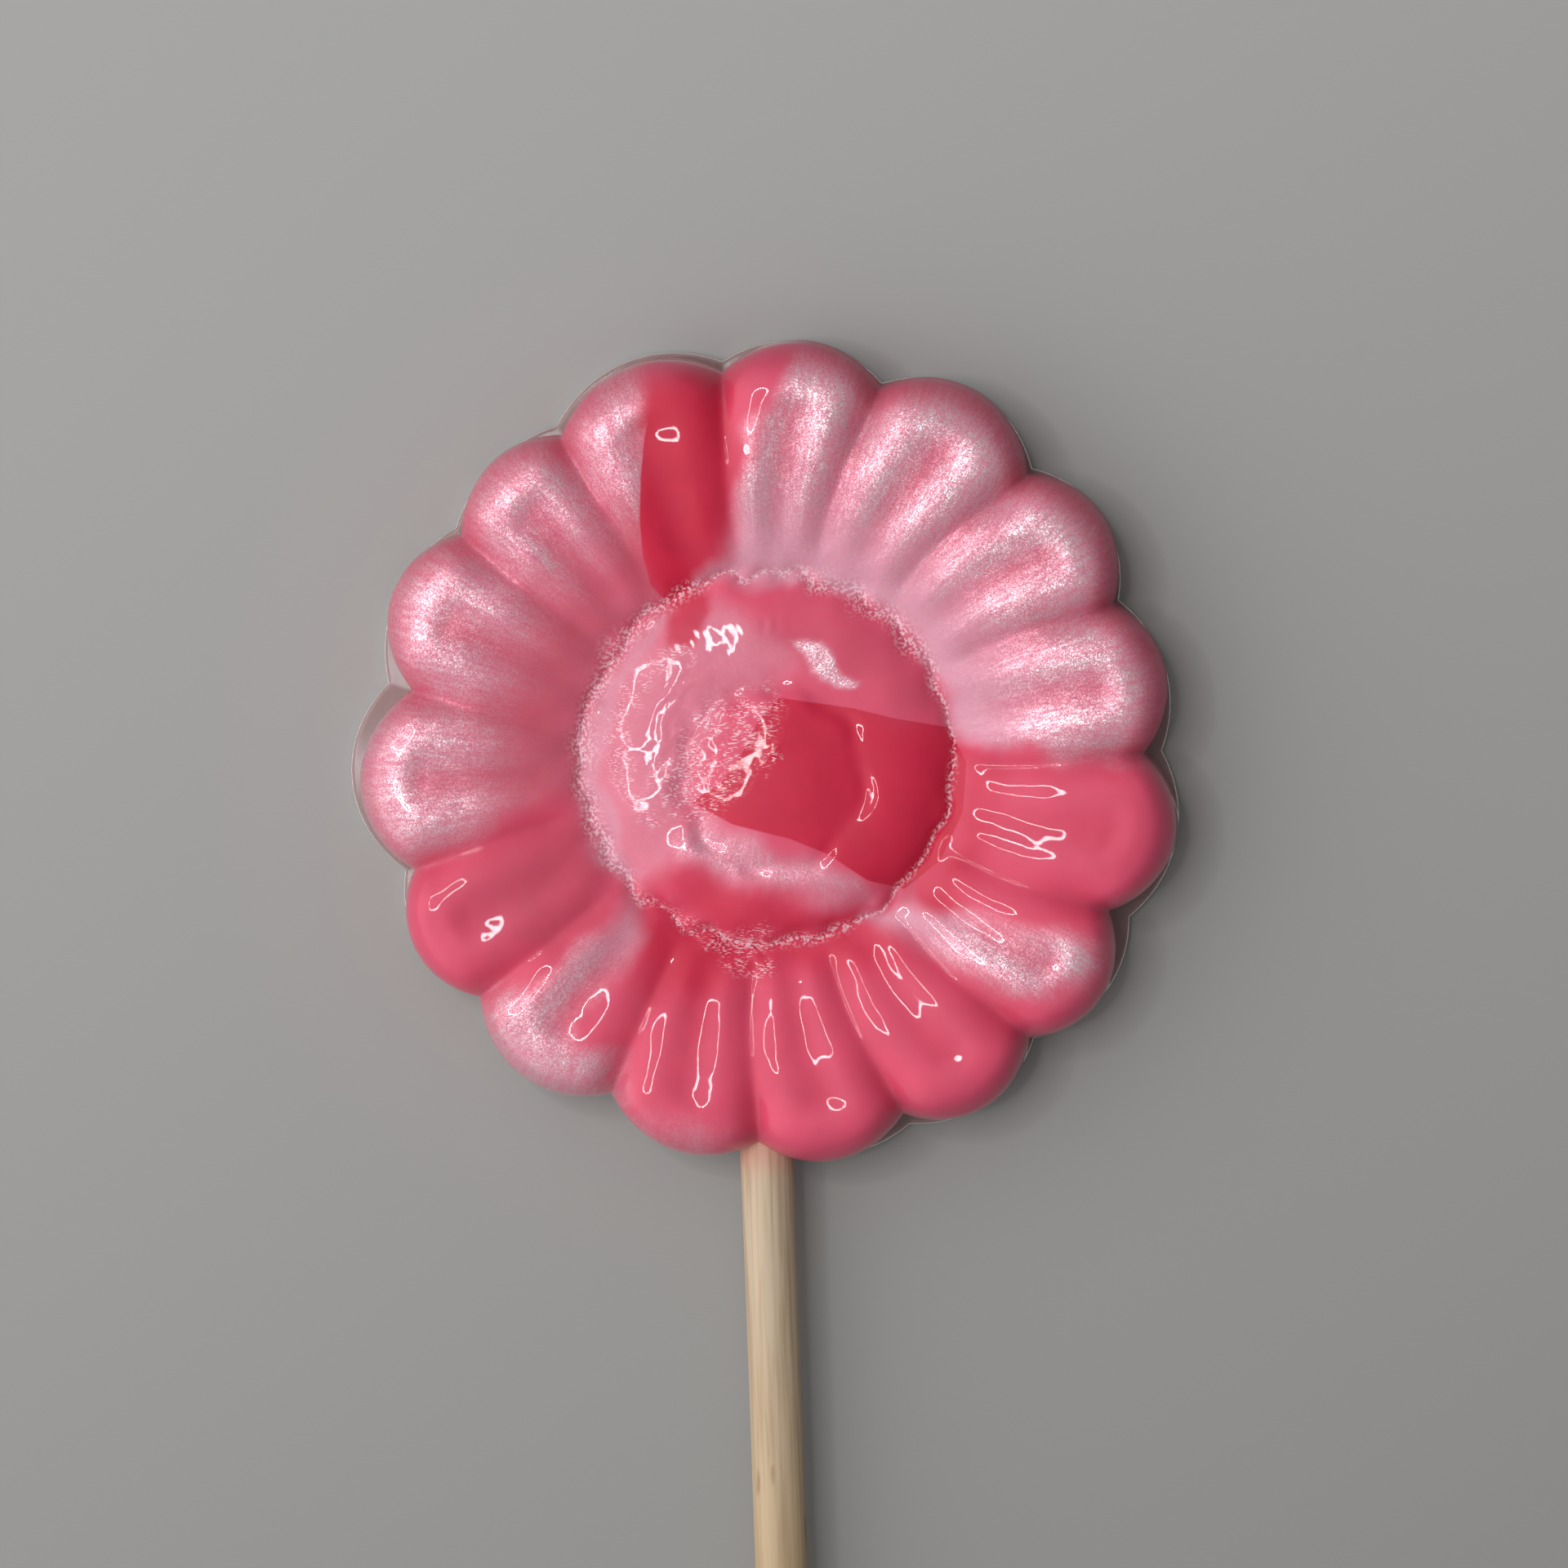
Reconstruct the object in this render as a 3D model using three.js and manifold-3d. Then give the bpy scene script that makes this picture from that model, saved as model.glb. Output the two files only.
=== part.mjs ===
import * as THREE from 'three';
import { ParametricGeometry } from 'three/addons/geometries/ParametricGeometry.js';
import { mergeVertices } from 'three/addons/utils/BufferGeometryUtils.js';
import Module from 'manifold-3d';

// A boiled-sugar flower on a round wooden stick. It lies on its flat back with the flower up.
// Millimetres, +Z up. The origin is the centre of the flat back, and the stick runs along -Y.
// Clock angles are in degrees, clockwise from +Y as seen from above.

// One row for each petal. start is the clock angle of the valley before the petal, near the dome,
// and sweep is how far that valley has turned where it meets the rim. notch and tip are how far
// the body reaches at that valley and at the middle of the petal. lipNotch and lipTip are the same
// for the thin lip round the back, where the last layer of the pour ran over the mould's edge.
const petals = [
  { start: -6.5, sweep: 1.6, notch: 29.3, tip: 31.4, lipNotch: 30.2, lipTip: 31.6 },
  { start: 15.8, sweep: 3.0, notch: 29.1, tip: 31.6, lipNotch: 29.6, lipTip: 31.8 },
  { start: 40.0, sweep: 4.4, notch: 28.9, tip: 31.0, lipNotch: 29.6, lipTip: 31.2 },
  { start: 64.8, sweep: 3.2, notch: 28.4, tip: 30.6, lipNotch: 29.1, lipTip: 30.9 },
  { start: 93.5, sweep: -2.2, notch: 28.4, tip: 31.4, lipNotch: 29.9, lipTip: 31.7 },
  { start: 118.8, sweep: -2.6, notch: 28.3, tip: 31.1, lipNotch: 30.1, lipTip: 31.4 },
  { start: 142.2, sweep: -3.2, notch: 29.0, tip: 31.2, lipNotch: 29.6, lipTip: 31.4 },
  { start: 164.6, sweep: -3.4, notch: 28.9, tip: 31.0, lipNotch: 30.2, lipTip: 31.1 },
  { start: 186.0, sweep: -2.6, notch: 29.2, tip: 30.7, lipNotch: 29.4, lipTip: 30.8 },
  { start: 207.8, sweep: -0.8, notch: 28.2, tip: 30.6, lipNotch: 28.4, lipTip: 30.7 },
  { start: 231.8, sweep: 0.4, notch: 28.5, tip: 30.5, lipNotch: 28.7, lipTip: 30.6 },
  { start: 255.4, sweep: -1.0, notch: 28.2, tip: 31.0, lipNotch: 29.3, lipTip: 32.1 },
  { start: 281.0, sweep: 1.6, notch: 27.4, tip: 31.0, lipNotch: 29.7, lipTip: 31.1 },
  { start: 306.8, sweep: 1.0, notch: 28.6, tip: 30.5, lipNotch: 29.6, lipTip: 30.6 },
  { start: 328.7, sweep: 0.3, notch: 28.8, tip: 31.3, lipNotch: 29.9, lipTip: 31.9 },
];

// Petals: heights above the flat back, and the arch of a petal along its length, which is steeper
// at its root beside the dome
const crestHeight = 9.3;
const crestRadius = 26.6;
const innerArch = 0.0129;
const outerArch = 0.06;
const rootRadius = 17.3;
const rootArch = 0.05;
const edgeRounding = 2.3;
const edgeSquareness = 2.3;
const wallHeight = 5.2;

// Valleys between the petals, which deepen to a notch at the rim
const valleyDepth = 0.5;
const valleyWidth = 0.8;
const valleyRounding = 0.6;
const valleyStart = 14.2;
const valleyFull = 17.6;
const notchDepth = 1.1;
const notchStart = 22;
const notchFull = 28.4;
const sweepStart = 18;

// The shallow groove down the middle of each petal, between its two ridges
const grooveDepth = 0.27;
const ridgeAt = 0.56;
const grooveStart = 14.4;
const grooveFull = 17.6;
const grooveFade = 5.2;
const grooveEnd = 2.9;

// Lip round the back
const lipHeight = 0.9;
const lipRounding = 0.3;
const wallFoot = 1.5;
const wallLean = 0.35;

// Dome: it rises from the crease to a lobed ring, with a shallow furrow and a low button inside
// that ring. The ring sits off the centre and leans, and so does the button.
const creaseRadius = 14;
const flankShare = 0.4;
const ringRadius = 7.65;
const ringOffset = { x: 0.4, y: -1.5 };
const ringHeight = 8.48;
const ringLean = { x: 0.02, y: -0.38 };
const lobeAngles = [31, 67, 113, 156, 189, 220, 254, 284, 316, 352];
const lobeReach = 0.35;
const lobeRise = 0.02;
const furrowWidth = 2;
const furrowDepth = 0.05;
const buttonTop = 9.2;
const buttonCentre = { x: 0.8, y: -2.4 };
const buttonCurve = { x: 28, y: 44 };

// Stick, and the socket round its buried end
const stickRadius = 2;
const stickLength = 150;
const stickBuried = 22;
const stickStart = -8.5;
const stickSide = -1.2;
const stickHeight = 3.8;
const stickWaver = 0.04;
const stickChamfer = 0.25;
const stickSides = 24;
const stickSteps = 14;
const socketGap = 0.3;

// Fineness of the flower: steps across a petal, and the rings of each stretch of the surface
const stepsAcross = 12;
const buttonShares = [0.35, 0.6, 0.75, 0.87, 1];
const flankShares = [0.28, 0.52, 0.72, 0.88];
const petalShares = [0, 0.07, 0.16, 0.28, 0.42, 0.56, 0.68, 0.76, 0.83, 0.89, 0.94, 0.975];

const candyLook = { color: 0xd4637f, roughness: 0.12, metalness: 0.05 };
const woodLook = { color: 0xcdb391, roughness: 0.7, metalness: 0 };

const { smoothstep, lerp, degToRad } = THREE.MathUtils;

// Clock angle of the valley before a petal, at a distance from the centre. Past the last petal the
// list starts again one turn on.
function valleyAngle(index, radius) {
  const row = petals[index % petals.length];
  const turns = Math.floor(index / petals.length);
  const bend = smoothstep(radius, sweepStart, row.notch);
  return 360 * turns + row.start + row.sweep * bend;
}

// Reach of the body or of the lip. across runs from -1 at the valley before the petal to 1 at the
// valley after it, and the petal bulges over the straight line between its two notches.
function outline(index, across, notchName, tipName) {
  const before = petals[index % petals.length][notchName];
  const after = petals[(index + 1) % petals.length][notchName];
  const line = lerp(before, after, (across + 1) / 2);
  const bulge = petals[index % petals.length][tipName] - (before + after) / 2;
  return line + bulge * (1 - across * across);
}

function bodyReach(index, across) {
  return outline(index, across, 'notch', 'tip');
}

function lipReach(index, across) {
  return Math.max(bodyReach(index, across), outline(index, across, 'lipNotch', 'lipTip'));
}

function clockAngle(index, across, radius) {
  return lerp(valleyAngle(index, radius), valleyAngle(index + 1, radius), (across + 1) / 2);
}

// Depth of the valley on either side of a petal: it fades with the distance from a rounded bottom.
function valleyAt(index, across, radius) {
  const span = valleyAngle(index + 1, radius) - valleyAngle(index, radius);
  const toValley = (1 - Math.abs(across)) * degToRad(span / 2) * radius;
  const eased = Math.hypot(toValley, valleyRounding) - valleyRounding;
  const rootDepth = valleyDepth * smoothstep(radius, valleyStart, valleyFull);
  const depth = rootDepth + notchDepth * smoothstep(radius, notchStart, notchFull);
  return depth * Math.exp(-eased / valleyWidth);
}

// Depth of the groove: a cosine from the middle of the petal to its ridges, faded at both ends.
function grooveAt(index, across, radius) {
  const toEdge = bodyReach(index, across) - radius;
  const fade = smoothstep(radius, grooveStart, grooveFull) * smoothstep(toEdge, grooveEnd, grooveFade);
  const toRidge = Math.min(1, Math.abs(across) / ridgeAt);
  return (grooveDepth * fade * (1 + Math.cos(Math.PI * toRidge))) / 2;
}

// Drop from a petal's crest along its length
function archAt(radius) {
  const fromCrest = radius - crestRadius;
  const arch = (fromCrest < 0 ? innerArch : outerArch) * fromCrest ** 2;
  return arch + rootArch * Math.max(0, rootRadius - radius) ** 2;
}

// Height of the petals' face: the crest less the arch, the valley and the groove, rounded over to
// the wall at the edge.
function petalHeight(index, across, radius) {
  const valley = valleyAt(index, across, radius);
  const top = crestHeight - archAt(radius) - valley - grooveAt(index, across, radius);
  const toEdge = bodyReach(index, across) - radius;
  const short = Math.max(0, 1 - toEdge / edgeRounding);
  const round = Math.max(0, 1 - short ** edgeSquareness) ** (1 / edgeSquareness);
  return wallHeight + (top - wallHeight) * round;
}

// How far a clock angle is into a lobe of the ring: 1 in its middle, -1 between two lobes.
function lobe(clock) {
  const turn = ((clock % 360) + 360) % 360;
  const wrapped = [lobeAngles.at(-1) - 360, ...lobeAngles, lobeAngles[0] + 360];
  const next = wrapped.findIndex((angle) => angle > turn);
  const share = (turn - wrapped[next - 1]) / (wrapped[next] - wrapped[next - 1]);
  return Math.cos(2 * Math.PI * share);
}

// Reach and height of the dome's ring at a clock angle
function ringReach(clock) {
  const turn = degToRad(clock);
  return ringRadius + lobeReach * lobe(clock) + ringOffset.x * Math.sin(turn) + ringOffset.y * Math.cos(turn);
}

function ringCrest(clock) {
  const turn = degToRad(clock);
  return ringHeight + lobeRise * lobe(clock) + ringLean.x * Math.sin(turn) + ringLean.y * Math.cos(turn);
}

// Height of the dome: it falls ever more steeply from the ring to the crease. Inside the ring it
// eases over the furrow into the button, which falls from its own centre as two parabolas.
function domeHeight(clock, radius) {
  const ring = ringReach(clock);
  const crest = ringCrest(clock);
  if (radius > ring) {
    const share = (radius - ring) / (creaseRadius - ring);
    const foot = crestHeight - archAt(creaseRadius);
    return crest - (crest - foot) * (flankShare * share ** 2 + (1 - flankShare) * share ** 4);
  }
  const fromCentreX = radius * Math.sin(degToRad(clock)) - buttonCentre.x;
  const fromCentreY = radius * Math.cos(degToRad(clock)) - buttonCentre.y;
  const fall = fromCentreX ** 2 / (2 * buttonCurve.x) + fromCentreY ** 2 / (2 * buttonCurve.y);
  const share = Math.min(1, (ring - radius) / furrowWidth);
  const furrow = furrowDepth * (1 + lobe(clock)) * Math.sin(Math.PI * share) ** 2;
  return crest + (buttonTop - fall - crest) * smoothstep(share, 0, 1) - furrow;
}

// The rings of the surface, from the middle of the dome round the rim to the middle of the back.
// Each gives its distance from the centre and its height at a place across a petal.
function flowerRings() {
  const lip = (inset, height) => (index, across) => [lipReach(index, across) - inset, height];
  const wall = (height) => (index, across) => {
    const lean = wallLean * (1 - height / wallHeight);
    const foot = bodyReach(index, across) + lean;
    return [Math.min(foot, lipReach(index, across)), height];
  };
  const petal = (share) => (index, across) => {
    const radius = lerp(creaseRadius, bodyReach(index, across), share);
    return [radius, petalHeight(index, across, radius)];
  };
  const button = (share) => (index, across) => {
    const clock = clockAngle(index, across, 0);
    const radius = share * ringReach(clock);
    return [radius, domeHeight(clock, radius)];
  };
  const flank = (share) => (index, across) => {
    const clock = clockAngle(index, across, 0);
    const radius = lerp(ringReach(clock), creaseRadius, share);
    return [radius, domeHeight(clock, radius)];
  };
  const middle = (height) => () => [0, height];
  return [
    middle(domeHeight(0, 0)),
    ...buttonShares.map(button),
    ...flankShares.map(flank),
    ...petalShares.map(petal),
    wall(wallHeight),
    wall(wallFoot),
    lip(0, lipHeight),
    lip(0, lipRounding),
    lip(lipRounding, 0),
    middle(0),
  ];
}

// The flower's closed surface. Along a ring the steps are closer together near the valleys.
function flowerGeometry() {
  const rings = flowerRings();
  const around = petals.length * stepsAcross;
  const place = (u, v, target) => {
    const column = Math.round(u * around) % around;
    const index = Math.floor(column / stepsAcross);
    const step = (column % stepsAcross) / stepsAcross;
    const across = Math.sin(Math.PI * (step - 0.5));
    const [radius, height] = rings[Math.round(v * (rings.length - 1))](index, across);
    const clock = degToRad(clockAngle(index, across, radius));
    target.set(radius * Math.sin(clock), radius * Math.cos(clock), height);
  };
  return new ParametricGeometry(place, around, rings.length - 1);
}

// A round bar along -Y with a chamfer at both ends, turned from a profile that starts and ends on
// its axis. radiusAt gives its radius at a distance from its first end.
function barGeometry(radiusAt, length, chamfer, steps) {
  const profile = [new THREE.Vector2(0, -length)];
  profile.push(new THREE.Vector2(radiusAt(length) - chamfer, -length));
  for (let step = steps; step >= 0; step -= 1) {
    const along = lerp(chamfer, length - chamfer, step / steps);
    profile.push(new THREE.Vector2(radiusAt(along), -along));
  }
  profile.push(new THREE.Vector2(radiusAt(0) - chamfer, 0));
  profile.push(new THREE.Vector2(0, 0));
  return new THREE.LatheGeometry(profile, stickSides);
}

// The stick is a little uneven along its length.
function stickShape(along) {
  return stickRadius + stickWaver * Math.sin(along / 9) * Math.sin(along / 23 + 1);
}

// A closed geometry as a solid for cutting: shared corners merged, flat triangles dropped.
function toSolid(wasm, geometry) {
  const bare = geometry.clone();
  bare.deleteAttribute('normal');
  bare.deleteAttribute('uv');
  const merged = mergeVertices(bare, 1e-4);
  const corners = merged.index.array;
  const kept = [];
  for (let at = 0; at < corners.length; at += 3) {
    const [a, b, c] = corners.slice(at, at + 3);
    if (a !== b && b !== c && c !== a) {
      kept.push(a, b, c);
    }
  }
  const vertProperties = new Float32Array(merged.attributes.position.array);
  const triVerts = new Uint32Array(kept);
  return new wasm.Manifold(new wasm.Mesh({ numProp: 3, vertProperties, triVerts }));
}

function toGeometry(solid) {
  const mesh = solid.getMesh();
  const geometry = new THREE.BufferGeometry();
  geometry.setAttribute('position', new THREE.BufferAttribute(mesh.vertProperties, 3));
  geometry.setIndex(new THREE.BufferAttribute(mesh.triVerts, 1));
  geometry.computeVertexNormals();
  return geometry;
}

function makeFlower(wasm) {
  const socketRadius = stickRadius + socketGap;
  const socket = barGeometry(() => socketRadius, 2 * stickBuried, stickChamfer, 1);
  socket.translate(stickSide, stickStart + socketGap, stickHeight);
  const body = toSolid(wasm, flowerGeometry()).subtract(toSolid(wasm, socket));
  const flower = new THREE.Mesh(toGeometry(body), new THREE.MeshStandardMaterial(candyLook));
  flower.name = 'flower_head';
  return flower;
}

function makeStick() {
  const geometry = barGeometry(stickShape, stickLength, stickChamfer, stickSteps);
  const stick = new THREE.Mesh(geometry, new THREE.MeshStandardMaterial(woodLook));
  stick.name = 'stick';
  stick.position.set(stickSide, stickStart, stickHeight);
  return stick;
}

const wasm = await Module();
wasm.setup();

const lollipop = new THREE.Group();
lollipop.add(makeFlower(wasm));
lollipop.add(makeStick());

export default lollipop;
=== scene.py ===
import bpy
import numpy as np
from mathutils import Matrix, Vector


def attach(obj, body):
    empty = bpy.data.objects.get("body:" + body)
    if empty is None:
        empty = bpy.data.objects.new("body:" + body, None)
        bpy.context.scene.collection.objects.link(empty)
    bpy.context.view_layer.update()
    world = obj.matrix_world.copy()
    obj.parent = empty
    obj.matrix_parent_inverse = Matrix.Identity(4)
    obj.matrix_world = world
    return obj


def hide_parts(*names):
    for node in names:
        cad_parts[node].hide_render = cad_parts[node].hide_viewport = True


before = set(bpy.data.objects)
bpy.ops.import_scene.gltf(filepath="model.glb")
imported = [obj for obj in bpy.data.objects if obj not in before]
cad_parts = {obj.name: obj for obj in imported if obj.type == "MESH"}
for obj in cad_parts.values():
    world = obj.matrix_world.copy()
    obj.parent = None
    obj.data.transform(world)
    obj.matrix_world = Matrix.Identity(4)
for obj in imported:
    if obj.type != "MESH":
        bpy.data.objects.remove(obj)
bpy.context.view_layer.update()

# A boiled-sugar flower on a round wooden stick, lying on its flat back with the flower up.
# Shapes are worked out in millimetres and turned into metres when a mesh is made.
# Clock angles are in degrees, clockwise from +Y as seen from above.
mm = 0.001

# One row for each petal: clock angle of the valley before it, how far that valley has turned at
# the rim, reach of the body at the valley and at the tip, and the same two for the clear lip.
petalRows = np.array([
    [-6.5, 1.6, 29.3, 31.4, 30.2, 31.6],
    [15.8, 3.0, 29.1, 31.6, 29.6, 31.8],
    [40.0, 4.4, 28.9, 31.0, 29.6, 31.2],
    [64.8, 3.2, 28.4, 30.6, 29.1, 30.9],
    [93.5, -2.2, 28.4, 31.4, 29.9, 31.7],
    [118.8, -2.6, 28.3, 31.1, 30.1, 31.4],
    [142.2, -3.2, 29.0, 31.2, 29.6, 31.4],
    [164.6, -3.4, 28.9, 31.0, 30.2, 31.1],
    [186.0, -2.6, 29.2, 30.7, 29.4, 30.8],
    [207.8, -0.8, 28.2, 30.6, 28.4, 30.7],
    [231.8, 0.4, 28.5, 30.5, 28.7, 30.6],
    [255.4, -1.0, 28.2, 31.0, 29.3, 32.1],
    [281.0, 1.6, 27.4, 31.0, 29.7, 31.1],
    [306.8, 1.0, 28.6, 30.5, 29.6, 30.6],
    [328.7, 0.3, 28.8, 31.3, 29.9, 31.9],
])
petalCount = len(petalRows)

petalShape = {
    "crestHeight": 9.3, "crestRadius": 26.6, "innerArch": 0.0129, "outerArch": 0.06,
    "rootRadius": 17.3, "rootArch": 0.05,
    "edgeRounding": 2.3, "edgeSquareness": 2.3, "wallHeight": 5.2,
    "valleyDepth": 0.5, "valleyWidth": 0.8, "valleyRounding": 0.6, "valleyStart": 14.2, "valleyFull": 17.6,
    "notchDepth": 1.1, "notchStart": 22, "notchFull": 28.4,
    "grooveDepth": 0.27, "ridgeAt": 0.56, "grooveStart": 14.4, "grooveFull": 17.6,
    "grooveFade": 5.2, "grooveEnd": 2.9, "sweepStart": 18,
}
domeShape = {
    "creaseRadius": 14, "height": 8.48,
    "ringLean": (0.02, -0.38), "ringRadius": 7.65, "ringOffset": (0.4, -1.5),
    "flankShare": 0.4, "furrowWidth": 2.0, "furrowDepth": 0.05,
    "buttonTop": 9.2, "buttonCentre": (0.8, -2.4), "buttonRadii": (28, 44),
    "lobeAngles": [31, 67, 113, 156, 189, 220, 254, 284, 316, 352],
    "lobeReach": 0.35, "lobeRise": 0.02,
}


def smoothStep(value, low, high):
    # 0 below low, 1 above high, with level ends between them: 3 t^2 - 2 t^3
    t = np.clip((value - low) / (high - low), 0, 1)
    return t * t * (3 - 2 * t)


def ripples(x, y, wavelength, count, seed):
    # a sum of sine waves in random directions, each 0.7 to 1.4 of the wavelength long, and scaled so
    # that the sum stays at about -1 to 1
    rng = np.random.default_rng(seed)
    total = np.zeros_like(x)
    for turn, phase, stretch in rng.uniform(0, 1, (count, 3)):
        number = 2 * np.pi / (wavelength * (0.7 + 0.7 * stretch))
        along = x * np.cos(2 * np.pi * turn) + y * np.sin(2 * np.pi * turn)
        total += np.sin(number * along + 2 * np.pi * phase)
    return total * np.sqrt(2 / count) / 1.6


def valleyAngle(index, radius):
    # clock angle of the valley before a petal: its start, plus its sweep eased in towards the rim
    rows = petalRows[index % petalCount]
    bend = smoothStep(radius, petalShape["sweepStart"], rows[..., 2])
    return 360 * (index // petalCount) + rows[..., 0] + rows[..., 1] * bend


def outline(index, across, notch, tip):
    # a straight line between the two notches, plus a bulge that is a parabola across the petal
    before = petalRows[index % petalCount][..., notch]
    after = petalRows[(index + 1) % petalCount][..., notch]
    line = before + (after - before) * (across + 1) / 2
    bulge = petalRows[index % petalCount][..., tip] - (before + after) / 2
    return line + bulge * (1 - across ** 2)


def bodyReach(index, across):
    return outline(index, across, 2, 3)


def lipReach(index, across):
    return np.maximum(bodyReach(index, across), outline(index, across, 4, 5))


def clockAngle(index, across, radius):
    before, after = valleyAngle(index, radius), valleyAngle(index + 1, radius)
    return before + (after - before) * (across + 1) / 2


def valleyShare(index, across, radius):
    # 1 at the bottom of the valley, fading with distance from it, with a rounded bottom
    p = petalShape
    span = valleyAngle(index + 1, radius) - valleyAngle(index, radius)
    toValley = (1 - np.abs(across)) * np.radians(span / 2) * radius
    eased = np.hypot(toValley, p["valleyRounding"]) - p["valleyRounding"]
    return np.exp(-eased / p["valleyWidth"])


def grooveShare(index, across, radius):
    # 1 along the middle of the petal, down to 0 on its two ridges as a cosine, and fading at both ends
    p = petalShape
    fade = smoothStep(radius, p["grooveStart"], p["grooveFull"])
    fade = fade * smoothStep(bodyReach(index, across) - radius, p["grooveEnd"], p["grooveFade"])
    return fade * (1 + np.cos(np.pi * np.clip(np.abs(across) / p["ridgeAt"], 0, 1))) / 2


def petalHeight(index, across, radius):
    # an arch along the radius, less the valley at each side and the groove in the middle, rounded
    # over to the wall by a superellipse at the edge
    p = petalShape
    fromCrest = radius - p["crestRadius"]
    arch = np.where(fromCrest < 0, p["innerArch"], p["outerArch"]) * fromCrest ** 2
    arch = arch + p["rootArch"] * np.maximum(0, p["rootRadius"] - radius) ** 2
    depth = p["valleyDepth"] * smoothStep(radius, p["valleyStart"], p["valleyFull"])
    depth = depth + p["notchDepth"] * smoothStep(radius, p["notchStart"], p["notchFull"])
    valley = depth * valleyShare(index, across, radius)
    groove = p["grooveDepth"] * grooveShare(index, across, radius)
    top = p["crestHeight"] - arch - valley - groove
    toEdge = bodyReach(index, across) - radius
    short = np.clip(1 - toEdge / p["edgeRounding"], 0, 1)
    rounding = (1 - short ** p["edgeSquareness"]) ** (1 / p["edgeSquareness"])
    return p["wallHeight"] + (top - p["wallHeight"]) * rounding


def lobe(clock):
    # 1 in the middle of a lobe of the ring and -1 between two lobes, as a cosine
    angles = np.array(domeShape["lobeAngles"])
    wrapped = np.concatenate([[angles[-1] - 360], angles, [angles[0] + 360]])
    share = np.interp(clock % 360, wrapped, np.arange(len(wrapped)))
    return np.cos(2 * np.pi * share)


def domeHeightAt(clock, radius):
    # a lobed ring, falling ever more steeply to the crease outside it; inside it eases into a low
    # round button with a shallow furrow between them
    d, p = domeShape, petalShape
    east, north = np.sin(np.radians(clock)), np.cos(np.radians(clock))
    lobes = lobe(clock)
    ring = d["ringRadius"] + d["lobeReach"] * lobes + d["ringOffset"][0] * east + d["ringOffset"][1] * north
    crest = d["height"] + d["lobeRise"] * lobes + d["ringLean"][0] * east + d["ringLean"][1] * north
    button = d["buttonTop"]
    for place, centre, curve in zip((radius * east, radius * north), d["buttonCentre"], d["buttonRadii"]):
        button = button - (place - centre) ** 2 / (2 * curve)
    t = np.clip((ring - radius) / d["furrowWidth"], 0, 1)
    inner = crest + (button - crest) * smoothStep(t, 0, 1)
    inner = inner - d["furrowDepth"] * (1 + lobes) * np.sin(np.pi * t) ** 2
    share = np.clip((radius - ring) / (d["creaseRadius"] - ring), 0, 1)
    foot = p["crestHeight"] - p["innerArch"] * (p["crestRadius"] - d["creaseRadius"]) ** 2
    foot = foot - p["rootArch"] * (p["rootRadius"] - d["creaseRadius"]) ** 2
    flank = crest - (crest - foot) * (d["flankShare"] * share ** 2 + (1 - d["flankShare"]) * share ** 4)
    return np.where(radius < ring, inner, flank)


def meshFromGrid(name, points):
    # points is rings by columns by 3: the first and last ring are single points, the columns wrap
    rings, columns = points.shape[:2]
    inner = points[1:-1].reshape(-1, 3)
    verts = np.concatenate([points[:1, 0], inner, points[-1:, 0]]) * mm
    row, col = np.meshgrid(np.arange(rings - 3), np.arange(columns), indexing="ij")
    nextCol = (col + 1) % columns
    here, below = 1 + row * columns, 1 + (row + 1) * columns
    quads = np.stack([here + col, below + col, below + nextCol, here + nextCol], -1).reshape(-1, 4)
    cols = np.arange(columns)
    nextCols = (cols + 1) % columns
    first = np.stack([np.zeros_like(cols), 1 + cols, 1 + nextCols], -1)
    base = 1 + (rings - 3) * columns
    last = np.stack([np.full_like(cols, len(verts) - 1), base + nextCols, base + cols], -1)
    mesh = bpy.data.meshes.new(name)
    mesh.from_pydata(verts, [], [*first.tolist(), *quads.tolist(), *last.tolist()])
    mesh.shade_smooth()
    piece = bpy.data.objects.new(name, mesh)
    bpy.context.scene.collection.objects.link(piece)
    return piece


def addField(piece, name, rings):
    # one number or one vector for each point of the grid, read by the materials
    inner = rings[1:-1].reshape(-1, *rings.shape[2:])
    values = np.concatenate([rings[:1, 0], inner, rings[-1:, 0]]).astype(np.float32)
    kind, key = ("FLOAT_VECTOR", "vector") if rings.ndim == 3 else ("FLOAT", "value")
    piece.data.attributes.new(name, kind, "POINT").data.foreach_set(key, values.ravel())


# The candy's grid, and the fine unevenness of the poured sugar: a swell, a waver and a shiver, each
# given by wavelength and depth, and what lies in single places. Lengths are in millimetres.
faceFinish = {
    "stepsAcross": 48, "domeRings": 44, "creaseRings": 20, "petalRings": 60, "wallRings": 8,
    "creaseFrom": 12.9, "creaseTo": 15.1, "creaseJag": 0.28, "creaseJagLength": 3.2,
    "beadDepth": 0.012, "beadLength": 0.5, "pullWidth": 1.3,
    "swell": (5.5, 0.03), "waver": (1.7, 0.005), "shiver": (0.75, 0.0012),
    "terraceDepth": 0.02, "terraceWidth": 1.45, "terraceCentre": (0.6, -1.2),
    "terraceMiddle": (-6.0, 3.0), "terraceReach": (3.2, 5.2), "terraceWaver": 0.35, "terraceWaverLength": 2.6,
    "wrinkleMiddle": (-1.6, -14.6), "wrinkleReach": (2.0, 1.3), "wrinkleDepth": 0.07, "wrinkleLength": 1.5,
    "smearMiddle": (0.5, 0.5), "smearAlong": (0.6, 0.8), "smearReach": (0.8, 0.3), "smearHeight": 0.07,
    "heartMiddle": (0.6, 10.1), "heartReach": (0.32, 0.45), "heartSide": 0.45, "heartDepth": 0.05,
    "edgeCrowding": 1.45, "bottom": 1.05, "wallSpread": 0.35, "footRings": (0.985, 0.6, 0.25, 0),
    "smoothUpTo": 4, "unevenFrom": 6,
}
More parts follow.
